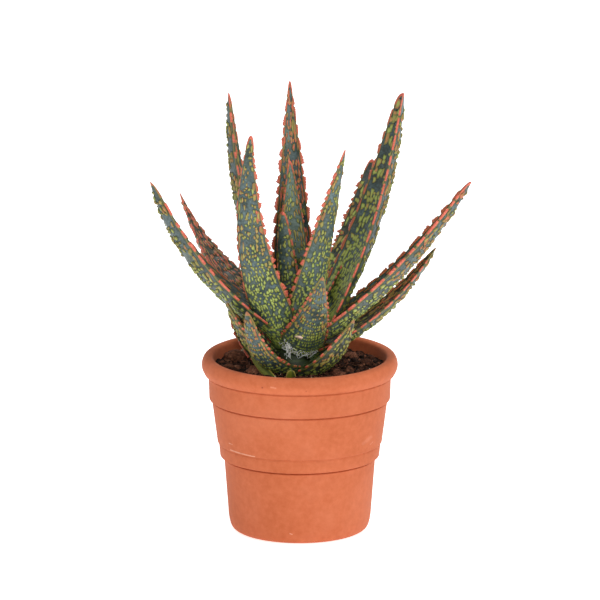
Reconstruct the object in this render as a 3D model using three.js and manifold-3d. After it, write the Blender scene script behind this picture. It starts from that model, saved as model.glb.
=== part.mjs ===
// Potted aloe: a rosette of thick, toothed, channelled leaves in a banded clay pot.
// Millimetres, +Z up. The origin is the centre of the pot's resting face.

import * as THREE from 'three';
import { mergeVertices } from 'three/addons/utils/BufferGeometryUtils.js';
import Module from 'manifold-3d';

const wasm = await Module();
wasm.setup();

// ---------------------------------------------------------------- driving dimensions

const CLEARANCE = 0.35; // gap between neighbouring pieces

const POT = {
  height: 118,
  footRadius: 46.9,
  footRounding: 7,
  lowerWallTop: { radius: 50.1, z: 46.8 },
  bandBottom: { radius: 52.9, z: 50.4 },
  bandTop: { radius: 53.5, z: 59 },
  upperWallFoot: { radius: 54.5, z: 59.8 },
  upperWallTop: { radius: 57.9, z: 85.9 },
  collarBottom: { radius: 60, z: 89 },
  collarTop: { radius: 60.4, z: 103 },
  rimRadius: 65,
  rimMiddle: 111.4,
  rimLowerRound: 4.6,
  rimUpperRound: 3.8,
  mouthRadius: 57,
  lip: 3,
  innerFloorRadius: 37,
  innerFoot: { radius: 41, z: 12 },
  floorThickness: 8,
  segments: 40,
};

const DRAIN = { holes: 3, radius: 4.5, ring: 24 };

const SOIL = {
  level: 111,
  edgeDrop: 1.2,
  lump: 1.5,
  stemHoleRadius: 14.3,
  rings: 6,
  segments: 40,
};

const STEM = { x: -4, y: -2, foot: 114, radius: 13.5, middleRadius: 6.5, topRadius: 2.4, depth: 24, height: 36 };

const TOOTH = { spacing: 7.4, proud: 2.2, smallest: 0.45 };
const MARGIN_THICKNESS = 0.9;

// A leaf's cross-section, as shares of its thickness over and under the midline.
const UPPER_SHARE = 0.25;
const LOWER_SHARE = 0.75;
const FLANK = { place: 0.62, depth: 0.72 }; // where the rounded back turns, share of half width and of depth

const SLIVER = 0.05; // detail that a cut may leave and that is smoothed away

// Each leaf's midline is an arc from the stem to its tip.
//   insert   height over the stem's foot where it leaves the stem, stand: how far out from the stem's axis
//   heading  compass direction in degrees, 0 along +X and 90 along +Y
//   reach    distance of the tip from the stem's axis, rise: height of the tip over the foot
//   arch     how far the midline's control point hangs below the chord, sweep: how far beside it
//   width    greatest width, narrowing as (1 - t^belly)^taper
//   twist    turn of the blade about its midline, at the stem and at the tip
//   channel  rise of the margins over the midline, as a share of the half width, at stem and tip
//   neck     share of the width that is left where the leaf joins the stem
// They are listed from the youngest, in the middle, to the oldest.
const LEAVES = [
  { name: 'leaf_01', insert: 33, stand: 2, heading: 180, reach: 7.4, rise: 101, arch: 1.8, sweep: 0,
    width: 17, taper: 0.55, belly: 1.4, twist: [61, 67], channel: [0.44, 0.3], thick: 4.5 },
  { name: 'leaf_02', insert: 31, stand: 4, heading: 100, reach: 14.3, rise: 132.5, arch: 1.3, sweep: -1,
    width: 27.5, taper: 0.86, belly: 1.25, twist: [3, 3], channel: [0.46, 0.3], thick: 4.8 },
  { name: 'leaf_03', insert: 28, stand: 5, heading: 94, reach: 37, rise: 182, arch: 4, sweep: 0,
    width: 32, taper: 0.9, belly: 1.1, twist: [3, 3], channel: [0.46, 0.3], thick: 5 },
  { name: 'leaf_04', insert: 19, stand: 6, heading: 321.5, reach: 43, rise: 147, arch: 1.4, sweep: -1.4,
    width: 27.5, taper: 0.86, belly: 1.2, twist: [-31, -4], channel: [0.25, 0.34], thick: 5 },
  { name: 'leaf_05', insert: 24, stand: 6, heading: 172, reach: 43.2, rise: 179, arch: 20, sweep: 2,
    width: 30, taper: 0.6, belly: 1.6, twist: [0, 1], channel: [0.47, 0.5], thick: 5.6 },
  { name: 'leaf_06', insert: 13, stand: 7, heading: 229, reach: 41.8, rise: 157, arch: 27, sweep: -5.8,
    width: 27.7, taper: 0.74, belly: 1.37, twist: [37, 27], channel: [0.3, 0.25], thick: 5.4 },
  { name: 'leaf_07', insert: 5, stand: 7, heading: 18, reach: 76.5, rise: 176, arch: 25, sweep: -5,
    width: 41.8, taper: 0.55, belly: 1.7, twist: [0, 0], channel: [0.1, 0.6], thick: 6.5 },
  { name: 'leaf_08', insert: 16, stand: 7, heading: 49.5, reach: 81.4, rise: 125, arch: 12.7, sweep: -2.9,
    width: 20.6, taper: 0.47, belly: 1.34, twist: [-25, 2], channel: [0.39, 0.3], thick: 5 },
  { name: 'leaf_09', insert: 20, stand: 7, heading: 149, reach: 89, rise: 105.5, arch: 17, sweep: 9,
    width: 31, taper: 1.05, belly: 1.55, twist: [-24, 10], channel: [0.5, 0.26], thick: 5 },
  { name: 'leaf_10', insert: 19, stand: 7, heading: 187.5, reach: 94.5, rise: 123, arch: 27.9, sweep: -5.4,
    width: 32.6, taper: 0.56, belly: 1.54, twist: [-9, 6], channel: [0.28, 0.6], thick: 5.8 },
  { name: 'leaf_11', insert: 10, stand: 7, heading: 354.5, reach: 116.7, rise: 122.6, arch: 20.2, sweep: 3.5,
    width: 34.5, taper: 0.48, belly: 1.1, twist: [2, 0], channel: [0.34, 0.55], thick: 5.4 },
  { name: 'leaf_12', insert: 9, stand: 9, heading: 291.7, reach: 51, rise: 67, arch: 11.6, sweep: -1.2,
    width: 29.9, taper: 0.83, belly: 1.4, twist: [-19, -12], channel: [0.32, 0.3], thick: 5.2, neck: 0.9 },
  { name: 'leaf_13', insert: 5, stand: 11, heading: 7, reach: 95, rise: 74.5, arch: 20, sweep: -1,
    width: 29, taper: 0.65, belly: 1.4, twist: [4, 2], channel: [0.32, 0.44], thick: 4.8 },
  { name: 'leaf_14', insert: 3, stand: 10, heading: 70, reach: 74, rise: 58, arch: 16, sweep: 0,
    width: 28, taper: 0.8, belly: 1.3, twist: [0, 0], channel: [0.45, 0.3], thick: 5 },
  { name: 'leaf_15', insert: 5, stand: 10, heading: 114, reach: 76, rise: 72, arch: 14, sweep: 2,
    width: 30, taper: 0.8, belly: 1.3, twist: [0, 0], channel: [0.45, 0.3], thick: 5 },
  { name: 'leaf_16', insert: 0, stand: 12, heading: 158, reach: 46, rise: 35, arch: 8, sweep: 0,
    width: 30, taper: 0.8, belly: 1.3, twist: [-40, -40], channel: [0.45, 0.3], thick: 5 },
  { name: 'leaf_17', insert: -2, stand: 13, heading: 202, reach: 47.5, rise: 43.9, arch: 9.8, sweep: 4.8,
    width: 27.4, taper: 0.6, belly: 1.3, twist: [5, -22], channel: [0.42, 0.3], thick: 5.6, neck: 0.9 },
  { name: 'leaf_18', insert: -2, stand: 13.6, heading: 234, reach: 51.8, rise: 43, arch: 22.4, sweep: 4.2,
    width: 33, taper: 0.66, belly: 1, twist: [-6, -8], channel: [0.32, 0.24], thick: 5.2, neck: 0.95 },
  { name: 'leaf_19', insert: -2, stand: 13.6, heading: 320, reach: 51.7, rise: 35.9, arch: 18.4, sweep: -9.2,
    width: 37.5, taper: 0.95, belly: 1.38, twist: [24, -7], channel: [0.38, 0.32], thick: 6.4, neck: 0.95 },
];

const LEAF_LOOK = { color: 0x4f6259, roughness: 0.5, metalness: 0 };
const POT_LOOK = { color: 0xd97e5c, roughness: 0.85, metalness: 0 };
const SOIL_LOOK = { color: 0x38251d, roughness: 1, metalness: 0 };
const STEM_LOOK = { color: 0x5f6b45, roughness: 0.7, metalness: 0 };

// ---------------------------------------------------------------- small helpers

/** Seeded random numbers between 0 and 1. */
function randomSource(seed) {
  let state = seed >>> 0;
  return () => {
    state = (state + 0x6d2b79f5) >>> 0;
    let word = Math.imul(state ^ (state >>> 15), 1 | state);
    word = (word + Math.imul(word ^ (word >>> 7), 61 | word)) ^ word;
    return ((word ^ (word >>> 14)) >>> 0) / 4294967296;
  };
}

/** Closed solid of a mesh whose shared vertices are merged first. */
function toSolid(geometry) {
  const bare = geometry.clone();
  bare.deleteAttribute('normal');
  bare.deleteAttribute('uv');
  const merged = mergeVertices(bare, 1e-4);
  const mesh = new wasm.Mesh({
    numProp: 3,
    vertProperties: new Float32Array(merged.attributes.position.array),
    triVerts: new Uint32Array(merged.index.array),
  });
  return new wasm.Manifold(mesh);
}

function toGeometry(solid) {
  const mesh = solid.getMesh();
  const geometry = new THREE.BufferGeometry();
  geometry.setAttribute('position', new THREE.BufferAttribute(mesh.vertProperties, 3));
  geometry.setIndex(new THREE.BufferAttribute(mesh.triVerts, 1));
  geometry.computeVertexNormals();
  return geometry;
}

function largestBody(solid) {
  const bodies = solid.decompose();
  return bodies.reduce((best, body) => (body.volume() > best.volume() ? body : best));
}

/** Closed skin over rings of equal length, with a flat start and a pointed end. */
function loft(rings, apex) {
  const count = rings[0].length;
  const start = rings[0].reduce((sum, point) => sum.add(point), new THREE.Vector3());
  const points = [start.divideScalar(count), ...rings.flat(), apex];
  const faces = [];
  for (let side = 0; side < count; side += 1) {
    const next = (side + 1) % count;
    faces.push(0, 1 + next, 1 + side);
    for (let ring = 0; ring < rings.length - 1; ring += 1) {
      const low = 1 + ring * count;
      const high = low + count;
      faces.push(low + side, high + next, high + side);
      faces.push(low + side, low + next, high + next);
    }
    const last = 1 + (rings.length - 1) * count;
    faces.push(last + side, last + next, points.length - 1);
  }
  const geometry = new THREE.BufferGeometry().setFromPoints(points);
  geometry.setIndex(faces);
  return geometry;
}

// ---------------------------------------------------------------- leaves

const UP = new THREE.Vector3(0, 0, 1);

/** The leaf's midline as a curve in the object's frame. */
function leafMidline(leaf) {
  const heading = THREE.MathUtils.degToRad(leaf.heading);
  const out = new THREE.Vector3(Math.cos(heading), Math.sin(heading), 0);
  const across = new THREE.Vector3(-out.y, out.x, 0);
  const foot = new THREE.Vector3(STEM.x, STEM.y, STEM.foot);
  const root = foot.clone().addScaledVector(out, leaf.stand).addScaledVector(UP, leaf.insert);
  const tip = foot.clone().addScaledVector(out, leaf.reach).addScaledVector(UP, leaf.rise);
  const chord = tip.clone().sub(root).normalize();
  const below = chord.clone().cross(across).normalize();
  if (below.dot(out) < 0) below.negate();
  const bend = root.clone().add(tip).multiplyScalar(0.5);
  bend.addScaledVector(below, leaf.arch).addScaledVector(across, leaf.sweep);
  return { curve: new THREE.QuadraticBezierCurve3(root, bend, tip), across };
}

/** Place and directions of the blade at t: side runs across it, face is its upper normal. */
function leafFrame(leaf, midline, t) {
  const point = midline.curve.getPoint(t);
  const along = midline.curve.getTangent(t);
  const flat = midline.across.clone().addScaledVector(along, -midline.across.dot(along)).normalize();
  const raised = along.clone().cross(flat);
  const turn = THREE.MathUtils.degToRad(THREE.MathUtils.lerp(leaf.twist[0], leaf.twist[1], t));
  const side = flat.clone().multiplyScalar(Math.cos(turn)).addScaledVector(raised, Math.sin(turn));
  const face = raised.clone().multiplyScalar(Math.cos(turn)).addScaledVector(flat, -Math.sin(turn));
  return { point, side, face };
}

/** Half width, thickness and channel depth of the blade at t. */
function leafSizes(leaf, t) {
  const neck = leaf.neck ?? 0.6;
  const necking = THREE.MathUtils.lerp(neck, 1, THREE.MathUtils.smoothstep(t, 0, 0.16));
  const half = 0.5 * leaf.width * necking * (1 - t ** leaf.belly) ** leaf.taper;
  const thick = leaf.thick * (1 - t ** 1.3) ** 0.8;
  const channel = THREE.MathUtils.lerp(leaf.channel[1], leaf.channel[0], (1 - t) ** 1.5);
  return { half, thick, channel };
}

/** One ring of the blade: a channelled upper face, a rounded lower face and two blunt margins. */
function leafRing(leaf, midline, t, grow, leftTooth, rightTooth) {
  const { point, side, face } = leafFrame(leaf, midline, t);
  const { half, thick, channel } = leafSizes(leaf, t);
  const edge = Math.min(MARGIN_THICKNESS, thick) / 2 + grow;
  const upper = UPPER_SHARE * thick + grow;
  const lower = LOWER_SHARE * thick + grow;
  const flank = -Math.max(edge, FLANK.depth * lower);
  const at = (share, extra, height) => {
    const width = share * (half + grow) + Math.sign(share) * extra;
    const rise = channel * (half + extra) * share * share + height;
    return point.clone().addScaledVector(side, width).addScaledVector(face, rise);
  };
  return [
    at(1, leftTooth, edge),
    at(0, 0, upper),
    at(-1, rightTooth, edge),
    at(-1, rightTooth, -edge),
    at(-FLANK.place, 0, flank),
    at(0, 0, -lower),
    at(FLANK.place, 0, flank),
    at(1, leftTooth, -edge),
  ];
}

/** Number of rings along a leaf, two to each tooth. */
function leafSteps(midline) {
  return 2 * Math.round(midline.curve.getLength() / TOOTH.spacing);
}

/** Size of the margin teeth at t: none at the stem, smaller towards the tip. */
function toothFade(t) {
  return THREE.MathUtils.smoothstep(t, 0.02, 0.12) * (1 - 0.6 * t);
}

/** The leaf with its margin teeth, which stand alternately left and right. */
function leafGeometry(leaf, seed) {
  const random = randomSource(seed);
  const midline = leafMidline(leaf);
  const steps = leafSteps(midline);
  const rings = [];
  for (let step = 0; step < steps; step += 1) {
    const t = step / steps;
    const proud = TOOTH.proud * toothFade(t) * THREE.MathUtils.lerp(TOOTH.smallest, 1, random());
    const left = step % 2 === 1 ? proud : 0;
    const right = step % 2 === 0 ? proud : 0;
    rings.push(leafRing(leaf, midline, t, 0, left, right));
  }
  return loft(rings, midline.curve.getPoint(1));
}

/** A plain, slightly larger copy of the leaf, which keeps the older leaves clear of it. */
function leafSpace(leaf) {
  const midline = leafMidline(leaf);
  const steps = leafSteps(midline);
  const rings = [];
  // Every ring near the stem, where the blade widens fast, and every third one beyond.
  for (let step = 0; step < steps; step += step < 0.2 * steps ? 1 : 3) {
    const t = step / steps;
    const tooth = TOOTH.proud * toothFade(t);
    rings.push(leafRing(leaf, midline, t, 1.2 * CLEARANCE, tooth, tooth));
  }
  const tip = midline.curve.getPoint(1);
  return loft(rings, tip.addScaledVector(midline.curve.getTangent(1), 2 * CLEARANCE));
}

// ---------------------------------------------------------------- stem

function stemGeometry(grow) {
  const profile = [
    new THREE.Vector2(0, STEM.foot - STEM.depth - grow),
    new THREE.Vector2(0.8 * STEM.radius + grow, STEM.foot - STEM.depth - grow),
    new THREE.Vector2(STEM.radius + grow, STEM.foot - 0.8 * STEM.depth),
    new THREE.Vector2(STEM.radius + grow, STEM.foot - 2),
    new THREE.Vector2(0.8 * STEM.radius + grow, STEM.foot + 2),
    new THREE.Vector2(STEM.middleRadius + grow, STEM.foot + 0.35 * STEM.height),
    new THREE.Vector2(STEM.topRadius + grow, STEM.foot + STEM.height + grow),
    new THREE.Vector2(0, STEM.foot + STEM.height + grow),
  ];
  const geometry = new THREE.LatheGeometry(profile, 16);
  return geometry.rotateX(Math.PI / 2).translate(STEM.x, STEM.y, 0);
}

// ---------------------------------------------------------------- pot and soil

/** Points of an arc in the profile plane, angles in degrees from the +radius direction. */
function arc(radius, z, size, start, end, steps) {
  const points = [];
  for (let step = 0; step <= steps; step += 1) {
    const angle = THREE.MathUtils.degToRad(THREE.MathUtils.lerp(start, end, step / steps));
    points.push(new THREE.Vector2(radius + size * Math.cos(angle), z + size * Math.sin(angle)));
  }
  return points;
}

/** Radius of the soil at a height: the pot's inside wall, less the gap and the flats of the wall's sides. */
function soilRadius(z) {
  const share = (z - POT.innerFoot.z) / (POT.height - POT.lip - POT.innerFoot.z);
  const wall = THREE.MathUtils.lerp(POT.innerFoot.radius, POT.mouthRadius, share);
  return wall * Math.cos(Math.PI / POT.segments) - CLEARANCE;
}

function potGeometry() {
  const corner = (place) => new THREE.Vector2(place.radius, place.z);
  const foot = POT.footRounding;
  const lowerRound = POT.rimLowerRound;
  const upperRound = POT.rimUpperRound;
  const rimTop = 0.76 * (POT.height - POT.rimMiddle);
  const profile = [
    new THREE.Vector2(0, 0),
    ...arc(POT.footRadius - foot, foot, foot, -90, 0, 3),
    corner(POT.lowerWallTop),
    corner(POT.bandBottom),
    corner(POT.bandTop),
    corner(POT.upperWallFoot),
    corner(POT.upperWallTop),
    corner(POT.collarBottom),
    corner(POT.collarTop),
    new THREE.Vector2(POT.rimRadius - 0.7 * lowerRound, POT.collarTop.z + 0.3 * lowerRound),
    ...arc(POT.rimRadius - lowerRound, POT.rimMiddle, lowerRound, -30, 0, 2),
    ...arc(POT.rimRadius - upperRound, POT.height - rimTop, rimTop, 30, 90, 2),
    ...arc(POT.mouthRadius + POT.lip, POT.height - POT.lip, POT.lip, 90, 180, 2),
    corner(POT.innerFoot),
    new THREE.Vector2(POT.innerFloorRadius, POT.floorThickness),
    new THREE.Vector2(0, POT.floorThickness),
  ];
  const lathe = new THREE.LatheGeometry(profile, POT.segments).rotateX(Math.PI / 2);
  let solid = toSolid(lathe);
  for (let hole = 0; hole < DRAIN.holes; hole += 1) {
    const angle = (2 * Math.PI * (hole + 0.5)) / DRAIN.holes;
    const drill = new THREE.CylinderGeometry(DRAIN.radius, DRAIN.radius, 4 * POT.floorThickness, 16);
    drill.rotateX(Math.PI / 2);
    drill.translate(DRAIN.ring * Math.cos(angle), DRAIN.ring * Math.sin(angle), 0);
    solid = solid.subtract(toSolid(drill));
  }
  return toGeometry(solid);
}

/** Height of the lumpy soil over its level, from a few crossing waves. */
function soilRelief(x, y) {
  const broad = Math.sin(0.13 * x + 1.7) * Math.cos(0.11 * y - 0.4);
  const fine = Math.sin(0.41 * x - 0.23 * y + 2.2) * Math.cos(0.36 * y + 0.19 * x);
  return SOIL.lump * (0.55 * broad + 0.45 * fine);
}

/** The soil: a plug that fills the pot, with a plain hole for the stem. */
function soilGeometry(grow) {
  const wall = soilRadius(SOIL.level);
  const floor = POT.floorThickness + CLEARANCE;
  const points = [];
  const addRing = (place) => {
    for (let step = 0; step < SOIL.segments; step += 1) {
      points.push(place((2 * Math.PI * step) / SOIL.segments));
    }
  };
  const holePoint = (angle) => new THREE.Vector2(
    STEM.x + SOIL.stemHoleRadius * Math.cos(angle),
    STEM.y + SOIL.stemHoleRadius * Math.sin(angle),
  );
  const around = (radius, angle) => new THREE.Vector2(radius * Math.cos(angle), radius * Math.sin(angle));
  for (let ring = 0; ring <= SOIL.rings; ring += 1) {
    const share = ring / SOIL.rings;
    const drop = SOIL.edgeDrop * share ** 4;
    addRing((angle) => {
      const flat = holePoint(angle).lerp(around(wall, angle), share);
      return new THREE.Vector3(flat.x, flat.y, SOIL.level + soilRelief(flat.x, flat.y) - drop + grow);
    });
  }
  const deep = STEM.foot - STEM.depth - 1;
  const lowWall = soilRadius(POT.innerFoot.z);
  addRing((angle) => new THREE.Vector3(...around(lowWall, angle).toArray(), POT.innerFoot.z));
  addRing((angle) => new THREE.Vector3(...around(POT.innerFloorRadius - 1, angle).toArray(), floor));
  const rings = SOIL.rings + 3;
  const faces = [];
  const floorCentre = points.push(new THREE.Vector3(0, 0, floor)) - 1;
  const holeStart = points.length;
  addRing((angle) => new THREE.Vector3(...holePoint(angle).toArray(), deep));
  const holeCentre = points.push(new THREE.Vector3(STEM.x, STEM.y, deep)) - 1;
  for (let side = 0; side < SOIL.segments; side += 1) {
    const next = (side + 1) % SOIL.segments;
    for (let ring = 0; ring < rings - 1; ring += 1) {
      const near = ring * SOIL.segments;
      const far = near + SOIL.segments;
      faces.push(near + side, far + side, far + next, near + side, far + next, near + next);
    }
    const last = (rings - 1) * SOIL.segments;
    faces.push(last + side, floorCentre, last + next);
    faces.push(holeStart + side, side, next, holeStart + side, next, holeStart + next);
    faces.push(holeCentre, holeStart + side, holeStart + next);
  }
  const geometry = new THREE.BufferGeometry().setFromPoints(points);
  geometry.setIndex(faces);
  return geometry;
}

// ---------------------------------------------------------------- assembly

const plant = new THREE.Group();

function addPiece(name, geometry, look) {
  const mesh = new THREE.Mesh(geometry, new THREE.MeshStandardMaterial(look));
  mesh.name = name;
  plant.add(mesh);
}

addPiece('pot', potGeometry(), POT_LOOK);
addPiece('soil', soilGeometry(0), SOIL_LOOK);
addPiece('stem', stemGeometry(0), STEM_LOOK);

const taken = [toSolid(stemGeometry(CLEARANCE)), toSolid(soilGeometry(CLEARANCE))];
LEAVES.forEach((leaf, index) => {
  const whole = toSolid(leafGeometry(leaf, 100 + index));
  const clear = largestBody(whole.subtract(wasm.Manifold.union(taken)));
  addPiece(leaf.name, toGeometry(clear.simplify(SLIVER)), LEAF_LOOK);
  taken.push(toSolid(leafSpace(leaf)));
});

export default plant;
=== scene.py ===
"""Looks of a potted aloe: toothed, flecked leaves in crumbly soil in a banded clay pot.

All is built in millimetres from the driving dimensions of the frame's solids and scaled to metres.
+Z is up and the pot stands on z = 0.
"""

import math

import bmesh
import bpy
import numpy as np
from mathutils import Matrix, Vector, noise


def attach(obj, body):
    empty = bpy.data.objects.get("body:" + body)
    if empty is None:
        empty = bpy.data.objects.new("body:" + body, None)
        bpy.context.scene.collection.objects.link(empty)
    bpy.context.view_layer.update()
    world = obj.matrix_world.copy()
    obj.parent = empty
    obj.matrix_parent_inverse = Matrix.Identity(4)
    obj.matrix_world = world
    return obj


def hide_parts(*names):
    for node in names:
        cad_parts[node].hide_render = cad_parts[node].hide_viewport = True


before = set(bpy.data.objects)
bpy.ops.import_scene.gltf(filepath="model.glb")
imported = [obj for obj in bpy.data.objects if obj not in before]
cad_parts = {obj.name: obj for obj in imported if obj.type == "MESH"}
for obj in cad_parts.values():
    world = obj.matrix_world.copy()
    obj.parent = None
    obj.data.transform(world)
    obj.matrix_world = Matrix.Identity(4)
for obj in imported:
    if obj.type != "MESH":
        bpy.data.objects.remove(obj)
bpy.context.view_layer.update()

MM = 0.001

# --- driving dimensions, in mm

CAMERA = {"distance": 2600, "pitch": 12.1, "target": (0.2, 0, 155.2), "lens": 236.4, "sensor": 36}

POT = {
    "height": 118,
    "foot_radius": 46.9,
    "foot_rounding": 7,
    "lower_wall_top": (50.1, 46.8),
    "band_bottom": (52.9, 50.4),
    "band_top": (53.5, 59.4),
    "upper_wall_foot": (54.6, 59.8),
    "upper_wall_top": (57.9, 85.6),
    "collar_bottom": (60, 89),
    "collar_top": (60.4, 103),
    "rim_foot": (62.6, 105.4),
    "rim_dip": 2.2,
    "rim_radius": 65.2,
    "rim_middle": 111.4,
    "mouth_radius": 57,
    "lip": 3,
    "inner_floor_radius": 37,
    "inner_foot": (41, 12),
    "floor": 8,
}
DRAIN = {"holes": 3, "radius": 4.5, "ring": 24, "from": -5, "to": 20}
SOIL = {"level": 111, "radius": 56.2, "edge_rise": 0.6, "lump": 1.5}
SOIL_SIDE = [(54.8, 98), (40.6, 12.5), (36, 8.4)]  # radius and z down the pot's wall to its floor
STEM = {"x": -4, "y": -2, "foot": 114, "depth": 24, "height": 36, "radius": 13.5, "middle": 6.5, "top": 2.4}

MARGIN = 0.45  # half the thickness of a leaf's margin
UPPER_SHARE = 0.25  # a leaf's thickness over its midline
LOWER_SHARE = 0.75  # and under it

# What a leaf's shape numbers are, in their order: see leaf_lines and leaf_sizes.
SHAPE = "insert stand heading reach rise arch sweep width taper belly twist channel thick".split()
# The rest, as it usually is. Lengths are in mm and shares from 0 to 1.
LOOKS = {
    "neck": 0.6,  # width of the foot, as a share of the full width
    "tooth": (2, 2),  # height of the left and right teeth
    "span": (4, 11),  # the shortest and the longest tooth
    "gap": 1.6,  # bare stretch between two teeth
    "swell": 0.1,  # how much thicker a margin is at its teeth
    "tip": 1,  # how red the tip's margin is
    "blunt": 0.5,  # how far it stands out round the tip
    "upper": "usual",  # kind of flecks on the upper face
    "lower": "usual",  # and on the lower one
    "coral": 1,  # how red they are
    "warts": 0.9,  # how far the lower face's stand out near the tip
    "upper_brown": 0.15,  # share of the brown tint in the upper face's skin, partly its own brown and partly painted shade
    "lower_brown": 0,  # and in the lower one's
    "fresh": 0,  # share of pale blue-green in the skin: painted light that lifts leaves lying in shade
    "pale": 0.05,  # share of the leaf's length that is pale, at its foot
    "threads": 0,  # fine threads caught on the lower face, beside a flake of husk
}


def leaf(*shape, **looks):
    """One leaf's dimensions and looks."""
    return {**dict(zip(SHAPE, shape)), **LOOKS, **looks}


# From the youngest, in the middle, to the oldest.
LEAVES = {
    "leaf_01": leaf(33, 2, 180, 7.4, 101, 1.8, 0, 17, 0.55, 1.4, (61, 67), (0.44, 0.3), 4.5,
        tooth=(0.9, 1.1), span=(3, 6), upper="dotted", upper_brown=0.2, coral=0.2, fresh=0.1),
    # leaf_02's skin is lifted with painted light, as it lies in shade inside the rosette
    "leaf_02": leaf(31, 4, 100, 14.3, 132.5, 1.3, -1, 27.5, 0.86, 1.25, (3, 3), (0.46, 0.3), 4.8,
        tooth=(1, 1.2), span=(3, 7), upper="lined", fresh=0.5),
    "leaf_03": leaf(28, 5, 94, 37, 182, 4, 0, 32, 0.9, 1.1, (3, 3), (0.46, 0.3), 5,
        tooth=(2.7, 2.4), span=(6, 13), gap=1, upper="streaked", upper_brown=0.05, coral=1.2),
    "leaf_04": leaf(19, 6, 321.5, 43, 147, 1.4, -1.4, 27.5, 0.86, 1.2, (-31, -4), (0.25, 0.34), 5,
        tooth=(1.6, 2.2), span=(2.5, 6), fresh=0.1, coral=0.35),
    "leaf_05": leaf(24, 6, 172, 43.2, 179, 20, 2, 30, 0.6, 1.6, (0, 1), (0.47, 0.5), 5.6,
        tooth=(1.6, 1.9), span=(4, 10), gap=5, upper="streaked", lower_brown=0.15, coral=0.8, warts=1.1),
    "leaf_06": leaf(13, 7, 229, 41.8, 157, 27, -5.8, 27.7, 0.74, 1.37, (37, 27), (0.3, 0.25), 5.4,
        tooth=(2.7, 1.4), span=(3, 8), warts=0.8, blunt=0.8),
    "leaf_07": leaf(5, 7, 18, 76.5, 176, 25, -5, 41.8, 0.55, 1.7, (0, 0), (0.1, 0.6), 6.5,
        tooth=(3, 1.6), span=(7, 15), gap=2, swell=0.3, upper="blotched",
        upper_brown=0, coral=0.6, warts=1.1, blunt=1.3),
    "leaf_08": leaf(16, 7, 49.5, 81.4, 125, 12.7, -2.9, 20.6, 0.47, 1.34, (-25, 2), (0.39, 0.3), 5,
        tooth=(3.5, 2.2), span=(2.5, 5), gap=1.3, upper="blotched", upper_brown=0.5, coral=0.7),
    "leaf_09": leaf(20, 7, 149, 89, 105.5, 17, 9, 31, 1.05, 1.55, (-24, 10), (0.5, 0.26), 5,
        tooth=(2.4, 2.2), span=(2.5, 7), upper="streaked", upper_brown=0.75, coral=3),
    "leaf_10": leaf(19, 7, 187.5, 94.5, 123, 27.9, -5.4, 32.6, 0.56, 1.54, (-9, 6), (0.28, 0.6), 5.8,
        tooth=(1.8, 2.4), span=(5, 13), gap=3, swell=0.3, upper="streaked",
        lower_brown=0.2, coral=0.7, warts=1.3, tip=0.6),
    "leaf_11": leaf(10, 7, 354.5, 116.7, 122.6, 20.2, 3.5, 34.5, 0.48, 1.1, (2, 0), (0.34, 0.55), 5.4,
        tooth=(4.6, 1.8), span=(6, 15), gap=2, swell=0.5, upper="streaked",
        lower_brown=0.2, coral=1.3, warts=1, blunt=0.8),
    "leaf_12": leaf(9, 9, 291.7, 51, 67, 11.6, -1.2, 29.9, 0.83, 1.4, (-19, -12), (0.32, 0.3), 5.2,
        neck=0.9, tooth=(1.7, 2.1), span=(2, 4.5), lower="banded", lower_brown=0.1, tip=0.35, threads=50),
    # leaf_13's upper face takes the full brown tint, painted shade for a face in shadow
    "leaf_13": leaf(5, 11, 7, 95, 74.5, 20, -1, 29, 0.65, 1.4, (4, 2), (0.32, 0.44), 4.8,
        tooth=(3, 1.6), span=(5, 12), gap=2.4, upper="streaked",
        upper_brown=1, coral=0.8, warts=1.1, tip=0.2),
    "leaf_14": leaf(3, 10, 70, 74, 58, 16, 0, 28, 0.8, 1.3, (0, 0), (0.45, 0.3), 5),
    "leaf_15": leaf(5, 10, 114, 76, 72, 14, 2, 30, 0.8, 1.3, (0, 0), (0.45, 0.3), 5),
    # leaf_16 fills a dark gap behind the others; its upper face is darkened with painted shade
    "leaf_16": leaf(0, 12, 158, 46, 35, 8, 0, 30, 0.8, 1.3, (-40, -40), (0.45, 0.3), 5,
        upper_brown=0.9),
    "leaf_17": leaf(-2, 13, 202, 47.5, 43.9, 9.8, 4.8, 27.4, 0.6, 1.3, (5, -22), (0.42, 0.3), 5.6,
        neck=0.9, tooth=(1.2, 1.2), span=(2, 5), lower="dense", lower_brown=0.4, warts=1, pale=0.3, tip=0.2),
    "leaf_18": leaf(-2, 13.6, 234, 51.8, 43, 22.4, 4.2, 33, 0.66, 1, (-6, -8), (0.32, 0.24), 5.2,
        neck=0.95, tooth=(1.3, 1.3), span=(1.8, 4), gap=2.6, lower="banded", lower_brown=0.05, tip=0.4),
    "leaf_19": leaf(-2, 13.6, 320, 51.7, 35.9, 18.4, -9.2, 37.5, 0.95, 1.38, (24, -7), (0.38, 0.32), 6.4,
        neck=0.95, tooth=(1.3, 1.3), span=(1.8, 4), gap=2.6, lower="dense", lower_brown=0.6, tip=0.3),
}

# --- small helpers


def smooth(x, low, high):
    """0 up to low, 1 from high on, and a soft step between."""
    x = np.clip((x - low) / (high - low), 0, 1)
    return x * x * (3 - 2 * x)


def mix(a, b, share):
    return a + (b - a) * share


def unit(vectors):
    return vectors / np.linalg.norm(vectors, axis=-1, keepdims=True)


def polar(radius, angle):
    return radius * math.cos(angle), radius * math.sin(angle)


def turns(count):
    """Angles of count points round a circle."""
    return np.arange(count) * 2 * math.pi / count


def curve_at(start, bend, end, share):
    """Point of a quadratic curve at a share of its run."""
    return (1 - share) ** 2 * start + 2 * share * (1 - share) * bend + share**2 * end


def add_object(name, data):
    item = bpy.data.objects.new(name, data)
    bpy.context.scene.collection.objects.link(item)
    return item


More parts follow.
